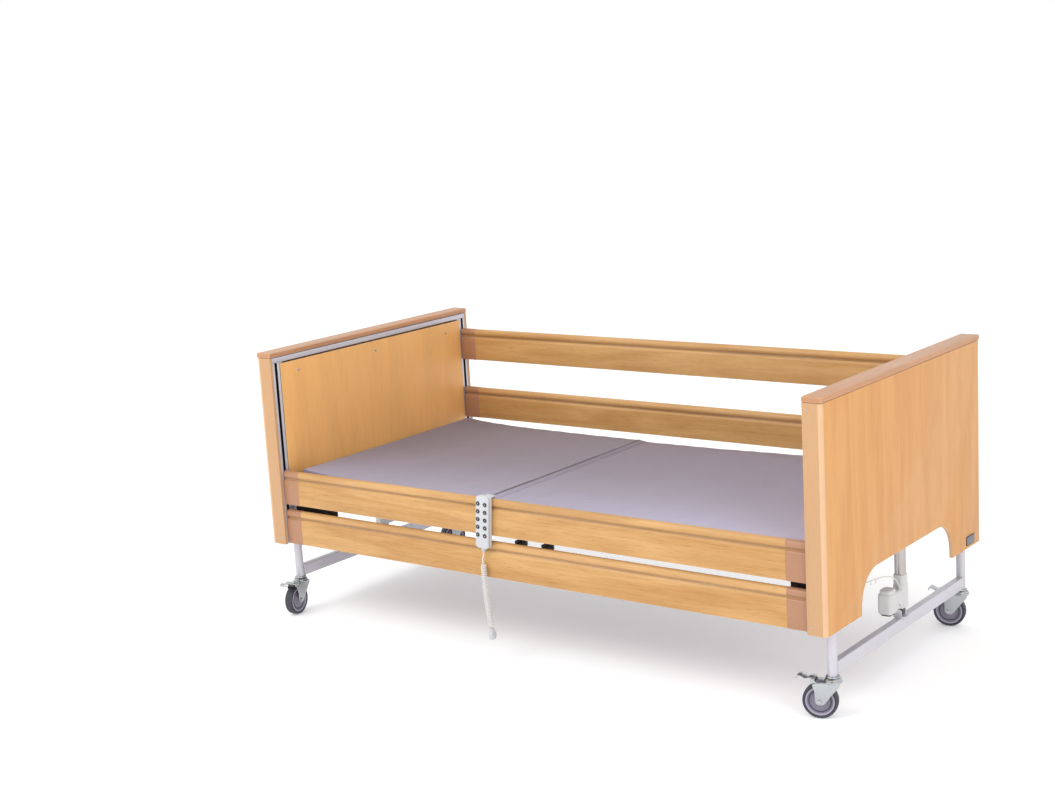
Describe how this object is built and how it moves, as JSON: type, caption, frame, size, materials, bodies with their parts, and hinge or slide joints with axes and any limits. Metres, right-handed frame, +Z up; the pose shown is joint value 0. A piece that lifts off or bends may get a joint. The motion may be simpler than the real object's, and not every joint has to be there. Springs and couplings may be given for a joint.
{
  "type": "adjustable care bed",
  "caption": "Height-adjustable care bed with wooden end boards, raising back and leg sections, sliding wooden side rails, castored lift bases and a corded handset.",
  "frame": {"origin": "on the floor under the middle of the bed", "axes": "+X along the bed from the head end to the foot end, +Y from the near side, where the handset hangs, to the far side, +Z up"},
  "size_m": [2.1181, 1.0538, 0.92],
  "materials": {
    "beech_laminate": "satin laminate with a fine upright grain",
    "cap_wood": "pinkish beech, satin lacquer",
    "oak_rail": "satin lacquer, grain along the bar",
    "silver_paint": "silver powder coat",
    "zinc_plate": "bright zinc plate",
    "white_plastic": "off-white, fine texture",
    "grey_plastic": "light grey, fine texture",
    "black_plastic": "black, fine texture",
    "grey_rubber": "dark grey rubber tyre on a grey hub",
    "mesh_fabric": "lilac-grey woven mesh",
    "satin_aluminium": "satin"
  },
  "bodies": {
    "bed": {"head_board_shell": "beech_laminate", "head_board_cap": "cap_wood", "head_inner_panel": "beech_laminate", "head_lift_frame": "silver_paint", "head_lift_rod": "satin_aluminium", "foot_board_shell": "beech_laminate", "foot_board_cap": "cap_wood", "foot_inner_panel": "beech_laminate", "foot_lift_frame": "silver_paint", "foot_lift_rod": "satin_aluminium", "deck_frame_head": "silver_paint", "deck_frame_foot": "silver_paint", "seat_cover": "mesh_fabric", "control_box": "grey_plastic", "frame_clamp_near": "black_plastic", "frame_clamp_far": "black_plastic"},
    "head_base": {"head_base_frame": "silver_paint", "head_lift_actuator": "white_plastic"},
    "head_near_castor": {"head_near_castor_fork": "zinc_plate"},
    "head_near_wheel": {"head_near_castor_wheel": "grey_rubber"},
    "head_near_pedal": {"head_near_brake_pedal": "zinc_plate"},
    "head_far_castor": {"head_far_castor_fork": "zinc_plate"},
    "head_far_wheel": {"head_far_castor_wheel": "grey_rubber"},
    "head_far_pedal": {"head_far_brake_pedal": "zinc_plate"},
    "foot_base": {"foot_base_frame": "silver_paint", "foot_lift_actuator": "white_plastic"},
    "foot_near_castor": {"foot_near_castor_fork": "zinc_plate"},
    "foot_near_wheel": {"foot_near_castor_wheel": "grey_rubber"},
    "foot_near_pedal": {"foot_near_brake_pedal": "zinc_plate"},
    "foot_far_castor": {"foot_far_castor_fork": "zinc_plate"},
    "foot_far_wheel": {"foot_far_castor_wheel": "grey_rubber"},
    "foot_far_pedal": {"foot_far_brake_pedal": "zinc_plate"},
    "backrest": {"back_frame": "silver_paint", "back_cover": "mesh_fabric"},
    "thigh_rest": {"thigh_frame": "silver_paint", "thigh_cover": "mesh_fabric"},
    "calf_rest": {"calf_frame": "silver_paint", "calf_cover": "mesh_fabric"},
    "back_actuator": {"back_actuator_housing": "white_plastic"},
    "back_rod": {"back_actuator_rod": "satin_aluminium"},
    "leg_actuator": {"leg_actuator_housing": "white_plastic"},
    "leg_rod": {"leg_actuator_rod": "satin_aluminium"},
    "near_upper_rail": {"near_upper_rail": "oak_rail"},
    "near_lower_rail": {"near_lower_rail": "oak_rail"},
    "far_upper_rail": {"far_upper_rail": "oak_rail"},
    "far_lower_rail": {"far_lower_rail": "oak_rail"},
    "handset": {"handset_body": "grey_plastic", "handset_cord": "grey_plastic", "handset_coil": "grey_plastic", "handset_plug": "grey_plastic"},
    "handset_button_01": {"handset_button_01": "black_plastic"},
    "handset_button_02": {"handset_button_02": "black_plastic"},
    "handset_button_03": {"handset_button_03": "black_plastic"},
    "handset_button_04": {"handset_button_04": "black_plastic"},
    "handset_button_05": {"handset_button_05": "black_plastic"},
    "handset_button_06": {"handset_button_06": "black_plastic"},
    "handset_button_07": {"handset_button_07": "black_plastic"},
    "handset_button_08": {"handset_button_08": "black_plastic"},
    "handset_button_09": {"handset_button_09": "black_plastic"},
    "handset_button_10": {"handset_button_10": "black_plastic"}
  },
  "joints": [
    {"name": "head_lift", "type": "slide", "parent": "bed", "child": "head_base", "axis": [0, 0, -1], "range_m": [-0.092, 0.31]},
    {"name": "head_near_castor_swivel", "type": "hinge", "parent": "head_base", "child": "head_near_castor", "pos_m": [-1.0195, -0.4345, 0.1195], "axis": [0, 0, 1], "continuous": true},
    {"name": "head_near_wheel_roll", "type": "hinge", "parent": "head_near_castor", "child": "head_near_wheel", "pos_m": [-1.01342, -0.46897, 0.05], "axis": [0.9848, 0.1736, 0], "continuous": true},
    {"name": "head_near_brake", "type": "hinge", "parent": "head_near_castor", "child": "head_near_pedal", "pos_m": [-1.01012, -0.48768, 0.1115], "axis": [0.9848, 0.1736, 0], "range_deg": [0, 12]},
    {"name": "head_far_castor_swivel", "type": "hinge", "parent": "head_base", "child": "head_far_castor", "pos_m": [-1.0195, 0.4345, 0.1195], "axis": [0, 0, 1], "continuous": true},
    {"name": "head_far_wheel_roll", "type": "hinge", "parent": "head_far_castor", "child": "head_far_wheel", "pos_m": [-1.03147, 0.40161, 0.05], "axis": [0.9397, -0.342, 0], "continuous": true},
    {"name": "head_far_brake", "type": "hinge", "parent": "head_far_castor", "child": "head_far_pedal", "pos_m": [-1.03797, 0.38376, 0.1115], "axis": [0.9397, -0.342, 0], "range_deg": [0, 12]},
    {"name": "foot_lift", "type": "slide", "parent": "bed", "child": "foot_base", "axis": [0, 0, -1], "range_m": [-0.092, 0.31]},
    {"name": "foot_near_castor_swivel", "type": "hinge", "parent": "foot_base", "child": "foot_near_castor", "pos_m": [1.0195, -0.4345, 0.1195], "axis": [0, 0, 1], "continuous": true},
    {"name": "foot_near_wheel_roll", "type": "hinge", "parent": "foot_near_castor", "child": "foot_near_wheel", "pos_m": [0.98603, -0.44473, 0.05], "axis": [0.2924, -0.9563, 0], "continuous": true},
    {"name": "foot_near_brake", "type": "hinge", "parent": "foot_near_castor", "child": "foot_near_pedal", "pos_m": [0.96786, -0.45029, 0.1115], "axis": [0.2924, -0.9563, 0], "range_deg": [0, 12]},
    {"name": "foot_far_castor_swivel", "type": "hinge", "parent": "foot_base", "child": "foot_far_castor", "pos_m": [1.0195, 0.4345, 0.1195], "axis": [0, 0, 1], "continuous": true},
    {"name": "foot_far_wheel_roll", "type": "hinge", "parent": "foot_far_castor", "child": "foot_far_wheel", "pos_m": [0.98526, 0.42722, 0.05], "axis": [0.2079, -0.9781, 0], "continuous": true},
    {"name": "foot_far_brake", "type": "hinge", "parent": "foot_far_castor", "child": "foot_far_pedal", "pos_m": [0.96668, 0.42327, 0.1115], "axis": [0.2079, -0.9781, 0], "range_deg": [0, 12]},
    {"name": "back_raise", "type": "hinge", "parent": "bed", "child": "backrest", "pos_m": [-0.16, 0, 0.478], "axis": [0, 1, 0], "range_deg": [0, 70]},
    {"name": "thigh_raise", "type": "hinge", "parent": "bed", "child": "thigh_rest", "pos_m": [0.05, 0, 0.478], "axis": [0, -1, 0], "range_deg": [0, 35]},
    {"name": "calf_fold", "type": "hinge", "parent": "thigh_rest", "child": "calf_rest", "pos_m": [0.38, 0, 0.478], "axis": [0, 1, 0], "range_deg": [0, 54.2]},
    {"name": "back_actuator_pivot", "type": "hinge", "parent": "bed", "child": "back_actuator", "pos_m": [0.42, -0.1, 0.38284], "axis": [0, 1, 0], "range_deg": [0, 1.93]},
    {"name": "back_actuator_stroke", "type": "slide", "parent": "back_actuator", "child": "back_rod", "axis": [-1, 0, 0], "range_m": [0, 0.1195]},
    {"name": "leg_actuator_pivot", "type": "hinge", "parent": "bed", "child": "leg_actuator", "pos_m": [-0.52, 0.1, 0.3734], "axis": [0, -1, 0], "range_deg": [0, 1.36]},
    {"name": "leg_actuator_stroke", "type": "slide", "parent": "leg_actuator", "child": "leg_rod", "axis": [1, 0, 0], "range_m": [0, 0.0623]},
    {"name": "near_rail_lift", "type": "slide", "parent": "bed", "child": "near_upper_rail", "axis": [0, 0, 1], "range_m": [0, 0.33]},
    {"name": "near_rail_follow", "type": "slide", "parent": "bed", "child": "near_lower_rail", "axis": [0, 0, 1], "range_m": [0, 0.2431]},
    {"name": "far_rail_lift", "type": "slide", "parent": "bed", "child": "far_upper_rail", "axis": [0, 0, 1], "range_m": [-0.33, 0]},
    {"name": "far_rail_follow", "type": "slide", "parent": "bed", "child": "far_lower_rail", "axis": [0, 0, 1], "range_m": [-0.2431, 0]},
    {"name": "handset_unhook", "type": "slide", "parent": "near_upper_rail", "child": "handset", "axis": [0, 0, 1], "range_m": [0, 0.06]},
    {"name": "handset_key_01", "type": "slide", "parent": "handset", "child": "handset_button_01", "axis": [0, 1, 0], "range_m": [0, 0.001], "stiffness_N_per_m": 300},
    {"name": "handset_key_02", "type": "slide", "parent": "handset", "child": "handset_button_02", "axis": [0, 1, 0], "range_m": [0, 0.001], "stiffness_N_per_m": 300},
    {"name": "handset_key_03", "type": "slide", "parent": "handset", "child": "handset_button_03", "axis": [0, 1, 0], "range_m": [0, 0.001], "stiffness_N_per_m": 300},
    {"name": "handset_key_04", "type": "slide", "parent": "handset", "child": "handset_button_04", "axis": [0, 1, 0], "range_m": [0, 0.001], "stiffness_N_per_m": 300},
    {"name": "handset_key_05", "type": "slide", "parent": "handset", "child": "handset_button_05", "axis": [0, 1, 0], "range_m": [0, 0.001], "stiffness_N_per_m": 300},
    {"name": "handset_key_06", "type": "slide", "parent": "handset", "child": "handset_button_06", "axis": [0, 1, 0], "range_m": [0, 0.001], "stiffness_N_per_m": 300},
    {"name": "handset_key_07", "type": "slide", "parent": "handset", "child": "handset_button_07", "axis": [0, 1, 0], "range_m": [0, 0.001], "stiffness_N_per_m": 300},
    {"name": "handset_key_08", "type": "slide", "parent": "handset", "child": "handset_button_08", "axis": [0, 1, 0], "range_m": [0, 0.001], "stiffness_N_per_m": 300},
    {"name": "handset_key_09", "type": "slide", "parent": "handset", "child": "handset_button_09", "axis": [0, 1, 0], "range_m": [0, 0.001], "stiffness_N_per_m": 300},
    {"name": "handset_key_10", "type": "slide", "parent": "handset", "child": "handset_button_10", "axis": [0, 1, 0], "range_m": [0, 0.001], "stiffness_N_per_m": 300}
  ],
  "couplings": [
    {"joint": "calf_fold", "follows": "thigh_raise", "ratio": 1.545},
    {"joint": "back_actuator_pivot", "follows": "back_raise", "ratio": 0.02616},
    {"joint": "back_actuator_stroke", "follows": "back_raise", "m_per_rad": 0.09737},
    {"joint": "leg_actuator_pivot", "follows": "thigh_raise", "ratio": 0.03594},
    {"joint": "leg_actuator_stroke", "follows": "thigh_raise", "m_per_rad": 0.10117},
    {"joint": "near_rail_follow", "follows": "near_rail_lift", "ratio": 0.73636},
    {"joint": "far_rail_follow", "follows": "far_rail_lift", "ratio": 0.73636}
  ]
}
